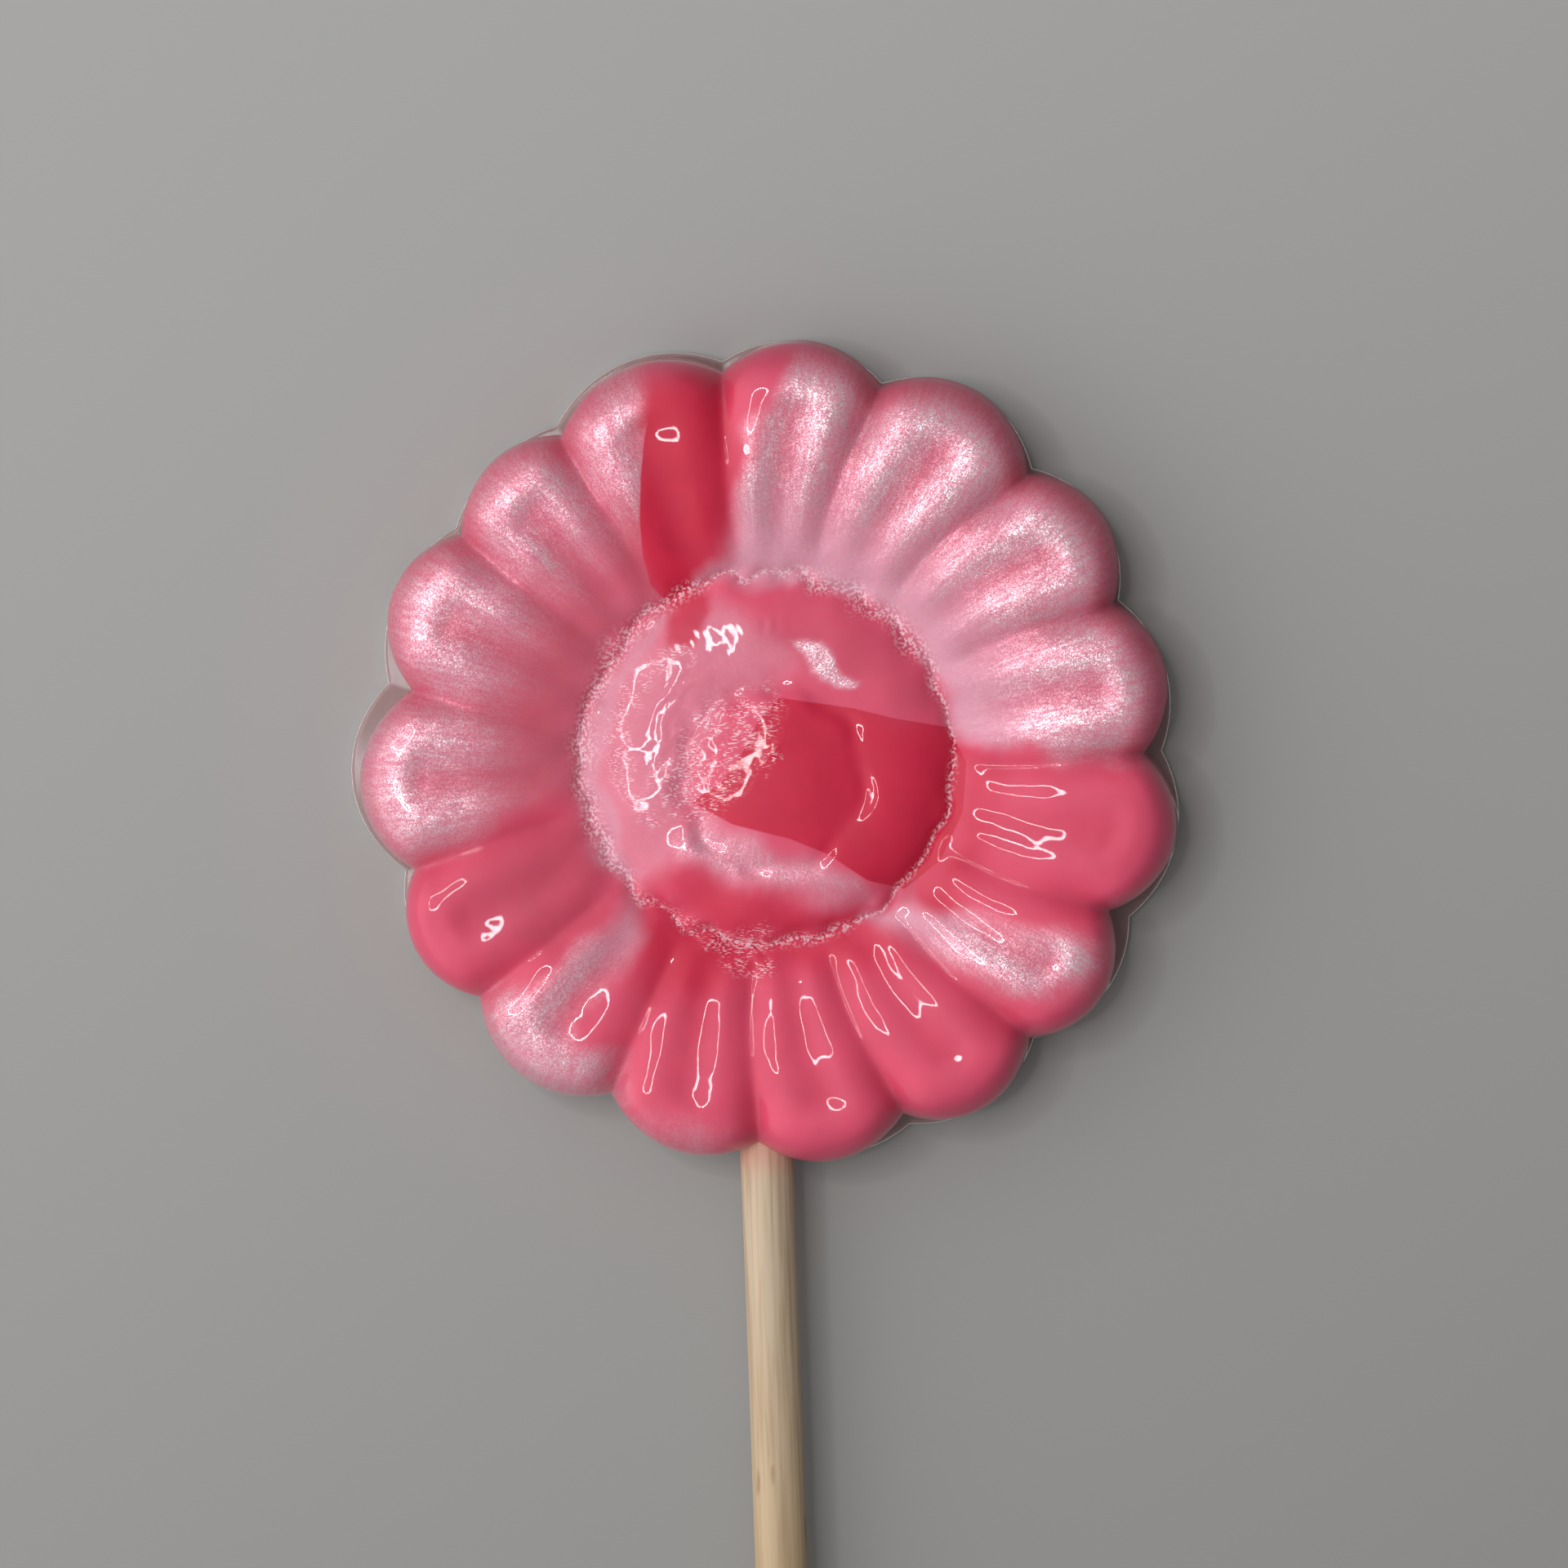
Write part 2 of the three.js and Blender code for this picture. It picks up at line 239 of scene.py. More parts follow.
# clock angle and half width of the glittering crease: wide on the left and the upper right, thin on
# the right and at the bottom
creaseWidths = np.array([
    [0, 0.25], [20, 0.75], [50, 0.7], [75, 0.24], [150, 0.22], [175, 0.36], [200, 0.28],
    [215, 0.2], [230, 0.45], [270, 0.75], [310, 0.65], [335, 0.5], [350, 0.2], [360, 0.25],
])
# stretches of the dome where the sugar has set finely crinkled
crinkledPatches = [
    {"softness": 0.5, "strength": 0.9, "outline": [
        (-12.2, 1.8), (-11.7, 4.1), (-10.6, 5.9), (-9.1, 7.3), (-8.2, 6.8), (-9.0, 5.1), (-9.9, 3.3),
        (-10.2, 0.8), (-10.2, -1.0), (-9.4, -2.6), (-8.1, -4.5), (-8.8, -4.9), (-10.3, -3.6), (-11.8, -0.9)]},
    {"softness": 0.8, "strength": 0.9, "outline": [
        (-6.6, -3.4), (-7.2, -0.8), (-6.4, 2.0), (-4.6, 4.2), (-2.0, 4.8), (0.2, 5.6), (1.3, 4.0),
        (0.6, 1.7), (-0.9, -0.4), (-2.2, -2.2), (-3.5, -3.8)]},
    {"softness": 0.5, "strength": 1.0, "outline": [
        (-8.6, 0.5), (-6.8, -0.2), (-5.5, -1.8), (-3.8, -3.4), (-5.0, -4.8), (-6.6, -4.2),
        (-8.1, -3.2), (-9.0, -1.7)]},
    {"softness": 0.5, "strength": 0.8, "outline": [
        (-8.1, -10.6), (-6.0, -12.0), (-3.5, -13.0), (-0.4, -12.5), (0.1, -16.2), (-1.2, -16.8),
        (-3.6, -15.7), (-4.8, -14.2), (-6.9, -12.5)]},
    {"softness": 0.4, "strength": 0.9, "outline": [(-8.7, 8.2), (-5.3, 8.7), (-5.2, 7.2), (-8.4, 6.8)]},
    {"softness": 0.2, "strength": 1.0, "outline": [
        (-0.7, -0.9), (-0.1, 0.5), (0.7, 0.9), (1.1, 0.6), (0.4, -0.4), (0.0, -1.1)]},
]


def creaseRadiusAt(x, y):
    # the crease wavers about its circle, which pulls the shapes beside it in and out
    wave = ripples(x, y, faceFinish["creaseJagLength"], count=14, seed=41)
    return domeShape["creaseRadius"] + faceFinish["creaseJag"] * wave


def creaseGlitter(clock, x, y, radius):
    # 1 on the crease, fading over its half width as a bell curve
    width = np.interp(clock % 360, creaseWidths[:, 0], creaseWidths[:, 1])
    return np.exp(-((radius - creaseRadiusAt(x, y)) / width) ** 2)


def bell(x, y, middle, reach, power):
    # 1 at the middle, falling off as exp of minus the distance over the reach, to a power, each way
    return np.exp(-((x - middle[0]) / reach[0]) ** power - ((y - middle[1]) / reach[1]) ** power)


def faceUnevenness(x, y, radius):
    # long swells, shorter waves and a fine shiver, each a sum of sine waves
    f = faceFinish
    uneven = np.zeros_like(x)
    for seed, (wavelength, depth) in enumerate([f["swell"], f["waver"], f["shiver"]]):
        uneven += depth * ripples(x, y, wavelength, count=26, seed=11 + seed)
    # beads along the crease between petals and dome
    clock = np.degrees(np.arctan2(x, y))
    beads = ripples(x, y, f["beadLength"], count=30, seed=21)
    uneven += f["beadDepth"] * creaseGlitter(clock, x, y, radius) * beads
    # low wavy terraces on the left of the dome, one inside the other
    fromMiddle = np.hypot(x - f["terraceCentre"][0], y - f["terraceCentre"][1])
    onTerraces = bell(x, y, f["terraceMiddle"], f["terraceReach"], power=4)
    waver = f["terraceWaver"] * ripples(x, y, f["terraceWaverLength"], count=12, seed=24)
    uneven += f["terraceDepth"] * onTerraces * np.sin(2 * np.pi * (fromMiddle / f["terraceWidth"] + waver))
    # a wrinkled patch on the crease at the bottom of the dome
    wrinkled = bell(x, y, f["wrinkleMiddle"], f["wrinkleReach"], power=2)
    uneven += f["wrinkleDepth"] * wrinkled * ripples(x, y, f["wrinkleLength"], count=20, seed=22)
    # a slanting smear right of the crinkled patches on the dome
    dx, dy = x - f["smearMiddle"][0], y - f["smearMiddle"][1]
    east, north = f["smearAlong"]
    along, beside = dx * east + dy * north, dx * north - dy * east
    uneven += f["smearHeight"] * bell(along, beside, (0, 0), f["smearReach"], power=2)
    # a small heart-shaped dimple near the top of the dome, made of two round ones
    for side in (-f["heartSide"], f["heartSide"]):
        middle = (f["heartMiddle"][0] + side, f["heartMiddle"][1])
        uneven -= f["heartDepth"] * bell(x, y, middle, f["heartReach"], power=2)
    return uneven


def columnsOf(stepsAcross):
    # petal number and place across it for every column, closer together near the valleys
    column = np.arange(petalCount * stepsAcross)
    step = (column % stepsAcross) / stepsAcross
    across = 0.5 * (2 * step - 1) + 0.5 * np.sin(np.pi * (step - 0.5))
    return (column // stepsAcross)[None, :], across[None, :]


def makeFlower():
    print("flower body")
    p, d, f = petalShape, domeShape, faceFinish
    index, across = columnsOf(f["stepsAcross"])
    domeRadius = np.linspace(0, f["creaseFrom"], f["domeRings"], endpoint=False)
    creaseRadius = np.linspace(f["creaseFrom"], f["creaseTo"], f["creaseRings"], endpoint=False)
    innerRadius = np.concatenate([domeRadius, creaseRadius])[:, None] + 0 * across
    share = 1 - (1 - np.linspace(0, 1, f["petalRings"])[:, None]) ** f["edgeCrowding"]
    reach = bodyReach(index, across)
    faceRadius = np.concatenate([innerRadius, f["creaseTo"] + share * (reach - f["creaseTo"])])
    wallHeights = np.linspace(p["wallHeight"], f["bottom"], f["wallRings"] + 1)[1:, None] + 0 * across
    wallRadius = reach + f["wallSpread"] * (1 - wallHeights / p["wallHeight"])
    footRadius = wallRadius[-1:] * np.array(f["footRings"])[:, None]
    radius = np.concatenate([faceRadius, wallRadius, footRadius])
    clock = clockAngle(index, across, radius)
    x, y = radius * np.sin(np.radians(clock)), radius * np.cos(np.radians(clock))
    # beside the crease the shapes follow its waver
    face = slice(0, len(faceRadius))
    nearCrease = np.exp(-((radius - d["creaseRadius"]) / f["pullWidth"]) ** 2)
    pull = (creaseRadiusAt(x, y) - d["creaseRadius"]) * nearCrease
    pulled = (radius - pull)[face]
    onDome = pulled < d["creaseRadius"]
    height = np.concatenate([
        np.where(onDome, domeHeightAt(clock[face], pulled), petalHeight(index, across, pulled)),
        wallHeights,
        np.full_like(footRadius, f["bottom"]),
    ])
    onFace = np.clip((height - f["smoothUpTo"]) / (f["unevenFrom"] - f["smoothUpTo"]), 0, 1)
    height = height + onFace * faceUnevenness(x, y, radius)
    flower = meshFromGrid("candy_flower", np.stack([x, y, height], -1))
    # how deep a point lies in a valley or a groove, where the colour is made deeper: partly less pearl there,
    # partly painted shade
    m = marbling
    inValley = valleyShare(index, across, radius) ** m["valleyPower"]
    inGroove = grooveShare(index, across, radius) ** m["groovePower"]
    addField(flower, "hollow", np.maximum(inValley, inGroove) * smoothStep(radius, *m["hollowFade"]))
    # the edge of the petals, and the whole wall below it, where the colour is deepened, partly by painted
    # shade
    onWall = height < p["wallHeight"] + 0.01
    addField(flower, "rim", 1 - smoothStep(np.where(onWall, 0, reach - radius), *m["rimFade"]))
    # clock angle and radius drawn out into streaks that run from the dome to the petals' tips, and
    # down the wall
    turn = np.radians(clock)
    outward = m["flowOut"] * radius + m["flowDown"] * np.minimum(height, p["wallHeight"])
    flow = np.stack([m["flowAround"] * np.sin(turn), m["flowAround"] * np.cos(turn), outward], -1)
    addField(flower, "flow", flow)
    frayed = wandering(x, y, m["fray"], seed=42)
    addField(flower, "crinkle", pouredAmount(*frayed, crinkledPatches))
    addField(flower, "crease", creaseGlitter(clock, x, y, radius))
    addPours(flower, x, y, radius, clock)
    return flower


def insideOf(x, y, corners):
    # signed distance in millimetres to a closed outline, positive inside it
    corners = np.array(corners)
    nearest = np.full(x.shape, 1e9)
    inside = np.zeros(x.shape, bool)
    for (ax, ay), (bx, by) in zip(corners, np.roll(corners, -1, 0)):
        sideX, sideY = bx - ax, by - ay
        along = np.clip(((x - ax) * sideX + (y - ay) * sideY) / (sideX ** 2 + sideY ** 2), 0, 1)
        nearest = np.minimum(nearest, np.hypot(x - ax - along * sideX, y - ay - along * sideY))
        crosses = (ay > y) != (by > y)
        inside ^= crosses & (x < ax + (y - ay) * sideX / np.where(sideY == 0, 1e-9, sideY))
    return np.where(inside, nearest, -nearest)


# The pours of sugar that marble the candy. outline is in millimetres on the face, softness is how
# far its edge fades, strength is how much of it there is.
pearlPours = [
    # the fan of petals on the upper right
    {"softness": 1.1, "strength": 1.0, "outline": [
        (3.4, 33.0), (3.0, 29.6), (1.6, 27.0), (-0.1, 24.0), (-1.4, 20.3), (-2.2, 17.3), (-2.9, 14.6),
        (-4.5, 13.7), (-1.4, 13.7), (3.5, 13.5), (8.0, 11.8), (11.5, 8.5), (13.6, 4.7), (14.2, 1.5),
        (16.8, 0.5), (22.2, -0.4), (30.1, -1.2), (34.5, 0.9), (32.7, 19.3), (23.3, 28.8), (11.2, 33.5)]},
    # a petal and a half on the lower left
    {"softness": 1.4, "strength": 0.85, "outline": [
        (-10.5, -10.3), (-13.0, -12.7), (-15.5, -15.0), (-18.1, -17.1), (-21.1, -16.4), (-23.4, -19.1),
        (-19.9, -25.1), (-15.3, -26.3), (-11.6, -25.6), (-12.1, -21.9), (-15.2, -21.1), (-15.7, -19.3),
        (-13.2, -16.3), (-9.9, -13.4)]},
    # a tongue on the lower right
    {"softness": 1.3, "strength": 1.0, "outline": [
        (6.9, -11.8), (10.2, -11.2), (13.6, -12.3), (17.5, -13.2), (22.1, -14.2), (25.6, -14.6),
        (25.8, -16.6), (21.6, -18.2), (18.0, -18.2), (15.2, -16.8), (12.5, -15.0), (9.6, -13.5)]},
    # the left edge of the dome
    {"softness": 1.2, "strength": 0.8, "outline": [
        (-6.5, 11.0), (-9.6, 9.6), (-12.4, 6.8), (-14.1, 3.4), (-14.5, 0.4), (-14.2, -3.4), (-12.8, -7.1),
        (-10.5, -9.8), (-9.3, -8.3), (-10.8, -5.4), (-11.8, -1.7), (-11.6, 2.3), (-10.4, 5.6), (-8.3, 8.4)]},
    # a faint haze on the tips at the lower left
    {"softness": 1.6, "strength": 0.4, "outline": [
        (-12.0, -26.5), (-8.0, -27.5), (-4.5, -28.0), (-4.0, -31.0), (-12.0, -31.0)]},
    # the left of the dome
    {"softness": 1.7, "strength": 0.45, "outline": [
        (-3.9, 12.1), (-6.4, 10.6), (-9.6, 9.6), (-12.4, 6.8), (-14.1, 3.4), (-14.5, 0.4), (-14.2, -3.4),
        (-12.8, -7.1), (-10.5, -9.8), (-8.0, -7.9), (-5.7, -4.6), (-5.6, -1.2), (-4.6, 1.6), (-3.2, 4.0),
        (-0.4, 5.6), (1.4, 6.0), (2.4, 7.8), (0.3, 9.7), (-2.1, 11.4)]},
]
# pearl on the dome that shines like satin: a band across its bottom and a streak above the pool
satinPours = [
    {"softness": 1.2, "strength": 0.62, "outline": [
        (-5.1, -4.3), (-2.3, -5.3), (1.0, -7.0), (4.0, -8.2), (6.6, -9.6), (7.4, -10.5), (5.2, -10.9),
        (2.7, -10.4), (-0.3, -9.8), (-2.8, -9.0), (-5.2, -8.0), (-7.7, -7.3), (-7.9, -5.4)]},
    {"softness": 0.45, "strength": 1.0, "outline": [
        (2.2, 8.8), (3.4, 8.9), (5.4, 7.4), (7.2, 5.6), (6.9, 4.9), (5.4, 5.4), (3.4, 7.0)]},
]
# the end of the red wedge, which runs over the crease onto the dome and hides the pearl there
wedgeTail = {"softness": 0.5, "strength": 0.85, "outline": [
    (-7.6, 12.0), (-5.6, 13.2), (-3.4, 12.6), (-3.2, 11.2), (-4.3, 9.9), (-5.3, 8.6), (-7.0, 9.0)]}
# pearl that stops at a sharp edge: the left fan, cut off by the curved side of the red wedge
leftFan = {"softness": 1.4, "strength": 0.85, "outline": [
    (-8.9, 35.0), (-8.4, 28.0), (-8.6, 25.4), (-5.0, 24.0), (2.0, 23.0), (2.0, 11.0), (-6.8, 11.0),
    (-9.8, 10.1), (-12.0, 6.8), (-13.4, 2.6), (-13.7, -2.0), (-16.9, -2.5), (-20.6, -3.9), (-24.4, -6.2),
    (-28.1, -7.6), (-34.8, -2.8), (-34.4, 9.4), (-27.9, 23.4), (-14.3, 35.3)]}
wedgeSide = [
    (-4.7, 34.0), (-6.4, 29.7), (-7.7, 26.7), (-8.3, 24.5), (-8.7, 21.5), (-8.9, 18.4), (-8.8, 15.6),
    (-8.3, 13.4), (-7.2, 12.0), (-6.3, 11.2), (-6.0, 8.7), (40.0, 8.0), (40.0, 34.0)]
# deeper red: the wedge at the top, the bottom of the dome, the petals' roots below it, and beside the
# dome on the right
crimsonPours = [
    {"softness": 1.5, "strength": 1.0, "outline": [
        (-7.7, 28.6), (-2.7, 30.2), (-1.2, 28.3), (-1.6, 24.0), (-2.1, 20.3), (-2.8, 16.7), (-3.3, 14.2),
        (-5.8, 11.8), (-8.2, 11.9), (-9.8, 14.4), (-10.0, 20.6), (-9.6, 24.3)]},
    {"softness": 1.6, "strength": 0.8, "outline": [
        (-8.6, -8.3), (-4.9, -8.6), (-1.7, -9.6), (1.4, -10.6), (4.1, -11.4), (6.9, -11.9), (5.3, -12.9),
        (1.0, -13.9), (-3.9, -13.2), (-6.9, -11.3)]},
    {"softness": 2.4, "strength": 0.9, "outline": [
        (-8.6, -9.8), (-5.7, -12.3), (-0.2, -13.9), (5.9, -12.7), (8.9, -13.4), (9.3, -15.0), (7.0, -16.4),
        (3.0, -15.9), (0.7, -16.0), (-3.0, -16.6), (-6.4, -18.6), (-8.6, -17.4), (-10.6, -14.8)]},
    {"softness": 2.0, "strength": 0.75, "outline": [
        (14.3, 0.4), (16.1, -0.3), (17.2, -1.6), (16.3, -7.1), (14.2, -11.2), (12.7, -11.7), (10.3, -10.4),
        (12.8, -7.5), (14.5, -3.9)]},
]
# the clear red pool on the right of the dome, with a sharp straight upper side
redPool = [
    (1.1, 4.6), (6.7, 3.6), (9.5, 2.8), (13.7, 1.9), (15.0, -0.8), (14.6, -4.5), (12.8, -8.1),
    (10.0, -10.2), (7.3, -9.4), (4.4, -7.3), (1.5, -6.0), (-2.7, -4.8), (-5.8, -3.0), (-3.5, -1.7),
    (-1.9, 0.4), (-0.6, 2.8)]
# duller, dusky pink: left of the dome, below that, and the dome's upper right
duskPours = [
    {"softness": 3.0, "strength": 1.0, "outline": [
        (-11.0, 13.0), (-13.5, 13.5), (-17.5, 9.0), (-20.0, 4.0), (-19.5, -2.0), (-14.0, -3.0), (-13.4, 3.0),
        (-12.0, 7.0), (-10.0, 10.0)]},
    {"softness": 2.4, "strength": 0.7, "outline": [
        (-14.0, -4.0), (-20.0, -5.5), (-24.0, -9.0), (-21.0, -14.0), (-15.0, -12.0), (-11.5, -9.0)]},
    {"softness": 2.5, "strength": 0.6, "outline": [
        (3.0, 12.5), (9.5, 9.5), (12.5, 5.0), (13.5, 2.2), (9.0, 3.2), (5.0, 6.0), (0.5, 9.0)]},
]
# clock angle, and how strong there the deep colour of the petals' edge is and how far it turns to plum; this
# is painted shade, strongest and plum on the right, away from the light, and faint on the lower left
rimShadeTones = np.array([
    [0, 0.95], [30, 0.9], [70, 0.9], [100, 1], [150, 1], [180, 0.5], [215, 0.15], [270, 0.5],
    [300, 0.6], [330, 0.7], [360, 0.95],
])
rimPlumShades = np.array([[0, 0], [60, 0.2], [90, 1], [140, 1], [170, 0], [360, 0]])
# How the pours are spread. Waves are given by wavelength, reach and count; fades by the radii, or the
# distances from the petal's edge, between which they run; frost by the clock angles between which it
# comes and then goes.
marbling = {
    "swirls": ((5, 0.45, 12), (1.2, 0.06, 16)), "fray": ((1.3, 0.2, 12),),
    "flowAround": 22, "flowOut": 0.2, "flowDown": -0.4,
    "valleyPower": 0.6, "groovePower": 1.4, "hollowFade": (14.5, 18),
    "rimFade": (0.2, 3.4), "milkFade": (14.5, 23),
    "fanFade": (17, 25), "fanNearDome": 0.3,
    "frosted": ((2, 10, 88, 94), (276, 284, 336, 341)), "frostFade": (13, 15),
}


def wandering(x, y, waves, seed):
    # x and y moved about by ripples
    moved = []
    for place in (x, y):
        for wavelength, reach, count in waves:
            place = place + reach * ripples(x, y, wavelength, count, seed)
            seed += 1
        moved.append(place)
    return moved


def pouredAmount(x, y, pours):
    # the strongest of several pours, each fading over its softness
    amount = np.zeros_like(x)
    for pour in pours:
        edge = insideOf(x, y, pour["outline"])
        amount = np.maximum(amount, pour["strength"] * smoothStep(edge, -pour["softness"], pour["softness"]))
    return amount


def addPours(piece, x, y, radius, clock):
    print("marbling")
    m = marbling
    swirl = wandering(x, y, m["swirls"], seed=31)
    tail = pouredAmount(*swirl, [wedgeTail])
    satin = pouredAmount(*swirl, satinPours)
    addField(piece, "pearl", np.maximum(satin, pouredAmount(*swirl, pearlPours) * (1 - tail)))
    nearDome = m["fanNearDome"]
    fan = nearDome + (1 - nearDome) * smoothStep(radius, *m["fanFade"])
    addField(piece, "leftPearl", fan * pouredAmount(*swirl, [leftFan]))
    addField(piece, "wedgeEdge", insideOf(x, y, wedgeSide))
    # on the dome and round it the pearl is milky, and further out it shines
    addField(piece, "milk", (1 - smoothStep(radius, *m["milkFade"])) * (1 - satin))
    addField(piece, "crimson", np.maximum(tail, pouredAmount(*swirl, crimsonPours)))
    addField(piece, "poolEdge", insideOf(x, y, redPool))
    addField(piece, "dusk", pouredAmount(*swirl, duskPours))
    # where mica lies bare at the face and dulls it: two fans of petals
    wrapped = clock % 360
    frost = np.zeros_like(radius)
    for starts, full, fades, ends in m["frosted"]:
        frost += smoothStep(wrapped, starts, full) * (1 - smoothStep(wrapped, fades, ends))
    addField(piece, "frost", frost * smoothStep(radius, *m["frostFade"]))
    addField(piece, "rimShadeTone", np.interp(wrapped, rimShadeTones[:, 0], rimShadeTones[:, 1]))
    addField(piece, "rimPlumShade", np.interp(wrapped, rimPlumShades[:, 0], rimPlumShades[:, 1]))


# The clear last layer. Its rounded edge runs from top to bottom, as pairs of the distance inside the
# lip's outline and the height.
clearShape = {
    "stepsAcross": 24, "flatAt": (0, 0.4, 0.8),
    "edge": [
        (0.35, 1.2), (0.12, 1.15), (0.02, 1.05), (0, 0.85), (0, 0.35), (0.03, 0.15), (0.14, 0.04), (0.35, 0)],
}


def makeClearBack():
    print("clear back")
    index, across = columnsOf(clearShape["stepsAcross"])
    reach = lipReach(index, across)
    inset, level = np.array(clearShape["edge"]).T[:, :, None]
    flat = reach * np.array(clearShape["flatAt"])[:, None]
    radius = np.concatenate([flat, reach - inset, flat[::-1]])
    height = np.concatenate([level[0] + 0 * flat, level + 0 * reach, level[-1] + 0 * flat])
    clock = np.radians(clockAngle(index, across, radius))
    points = np.stack([radius * np.sin(clock), radius * np.cos(clock), height], -1)
    return meshFromGrid("candy_clear_back", points)


stickShape = {
    "radius": 2.0, "start": -8.5, "length": 150, "side": -1.2, "height": 3.8,
    "waver": 0.04, "waverLengths": (9, 23), "chamfer": 0.25, "chamferStep": 0.08,
    "fibres": ((17, 0.4), (29, 2.1), (41, 4.0)), "fibreDepth": 0.006, "fibreTwist": 0.02,
    "sides": 96, "rings": 420,
}


def makeStick():
    # a round bar along -Y: its radius wavers slowly along the bar, and shallow fibres run along it,
    # each set a sine wave round the bar with its number of ridges and its phase; the bar is thinned by
    # two fibre depths, so that its ridges stay inside the radius
    print("stick")
    s = stickShape
    edge = np.array([0, s["chamferStep"], s["chamfer"]])
    middle = np.linspace(s["chamfer"], s["length"] - s["chamfer"], s["rings"])[1:-1]
    along = np.concatenate([edge, middle, s["length"] - edge[::-1]])
    turn = np.linspace(0, 2 * np.pi, s["sides"], endpoint=False)[None, :]
    along = along[:, None] + 0 * turn
    slow, slower = s["waverLengths"]
    radius = s["radius"] + s["waver"] * np.sin(along / slow) * np.sin(along / slower + 1)
    fromEnd = np.minimum(along, s["length"] - along)
    radius = radius - np.maximum(0, s["chamfer"] - fromEnd)
    fibres = sum(np.sin(number * turn + phase + s["fibreTwist"] * along) for number, phase in s["fibres"])
    radius = radius + s["fibreDepth"] * (fibres * np.clip(fromEnd, 0, 1) - 2)
    x, z = s["side"] + radius * np.cos(turn), s["height"] + radius * np.sin(turn)
    points = np.stack([x, s["start"] - along, z], -1)
    axis = np.array([s["side"], 0, s["height"]])
    tips = (s["start"], s["start"] - s["length"])
    ends = [np.broadcast_to(axis + [0, y, 0], points[:1].shape) for y in tips]
    return meshFromGrid("wooden_stick", np.concatenate([ends[0], points, ends[1]]))


def emptyTree(tree):
    for old in list(tree.nodes):
        tree.nodes.remove(old)
    return tree


def node(tree, kind, inputs=None, **settings):
    # a new node: settings are its own properties, inputs are values or sockets for its inputs
    made = tree.nodes.new("ShaderNode" + kind)
    for name, value in settings.items():
        setattr(made, name, value)
    for name, value in (inputs or {}).items():
        if isinstance(value, bpy.types.NodeSocket):
            tree.links.new(value, made.inputs[name])
        else:
            made.inputs[name].default_value = value
    return made


def field(tree, name):
    return node(tree, "Attribute", attribute_name=name).outputs["Fac"]


def calculate(tree, operation, first, second, clamp=False):
    return node(tree, "Math", {0: first, 1: second}, operation=operation, use_clamp=clamp).outputs[0]


def product(tree, *factors):
    result = factors[0]
    for factor in factors[1:]:
        result = calculate(tree, "MULTIPLY", result, factor)
    return result


def oneLess(tree, value):
    # 1 - value
    return calculate(tree, "SUBTRACT", 1.0, value)


def noise(tree, vector, scale, detail=1.0):
    return node(tree, "TexNoise", {"Vector": vector, "Scale": scale, "Detail": detail}).outputs["Fac"]


def stretched(tree, vector, scale, turn=0.0):
    # the coordinates scaled, then turned about Z by an angle in degrees
    inputs = {"Vector": vector, "Rotation": (0, 0, np.radians(turn)), "Scale": scale}
    return node(tree, "Mapping", inputs).outputs[0]


def newMaterial(name):
    print("material", name)
    material = bpy.data.materials.new(name)
    material.use_nodes = True
    return material, emptyTree(material.node_tree)


def finishMaterial(tree, shader):
    tree.links.new(shader.outputs[0], node(tree, "OutputMaterial").inputs[0])


def between(tree, value, low, high, lowest=0.0, highest=1.0):
    # lowest below low, highest above high, eased between them
    inputs = {"Value": value, "From Min": low, "From Max": high, "To Min": lowest, "To Max": highest}
    return node(tree, "MapRange", inputs, interpolation_type="SMOOTHSTEP").outputs["Result"]


def blendColours(tree, share, first, second):
    made = node(tree, "Mix", data_type="RGBA")
    for socket, value in zip((made.inputs[0], made.inputs[6], made.inputs[7]), (share, first, second)):
        if isinstance(value, bpy.types.NodeSocket):
            tree.links.new(value, socket)
        else:
            socket.default_value = value if isinstance(value, float) else (*value, 1)
    return made.outputs[2]


def makeCloudGroup():
    # cloudy variation, shared by the sugar and the wood: soft noise turned into a factor about 1
    tree = bpy.data.node_groups.new("cloudy variation", "ShaderNodeTree")
    for name, kind in (("Vector", "Vector"), ("Scale", "Float"), ("Strength", "Float")):
        tree.interface.new_socket(name, in_out="INPUT", socket_type="NodeSocket" + kind)
    tree.interface.new_socket("Factor", in_out="OUTPUT", socket_type="NodeSocketFloat")
    inside = tree.nodes.new("NodeGroupInput")
    centred = calculate(tree, "SUBTRACT", noise(tree, inside.outputs[0], inside.outputs[1], detail=4.0), 0.5)
    swing = calculate(tree, "MULTIPLY", centred, inside.outputs[2])
    out = tree.nodes.new("NodeGroupOutput")
    tree.links.new(calculate(tree, "ADD", swing, 1.0), out.inputs[0])
    return tree


def cloudy(tree, group, vector, scale, strength):
    made = tree.nodes.new("ShaderNodeGroup")
    made.node_tree = group
    tree.links.new(vector, made.inputs["Vector"])
    made.inputs["Scale"].default_value = scale
    made.inputs["Strength"].default_value = strength
    return made.outputs["Factor"]


def scaled(tree, colour, factor):
    return node(tree, "VectorMath", {0: colour, "Scale": factor}, operation="SCALE").outputs["Vector"]


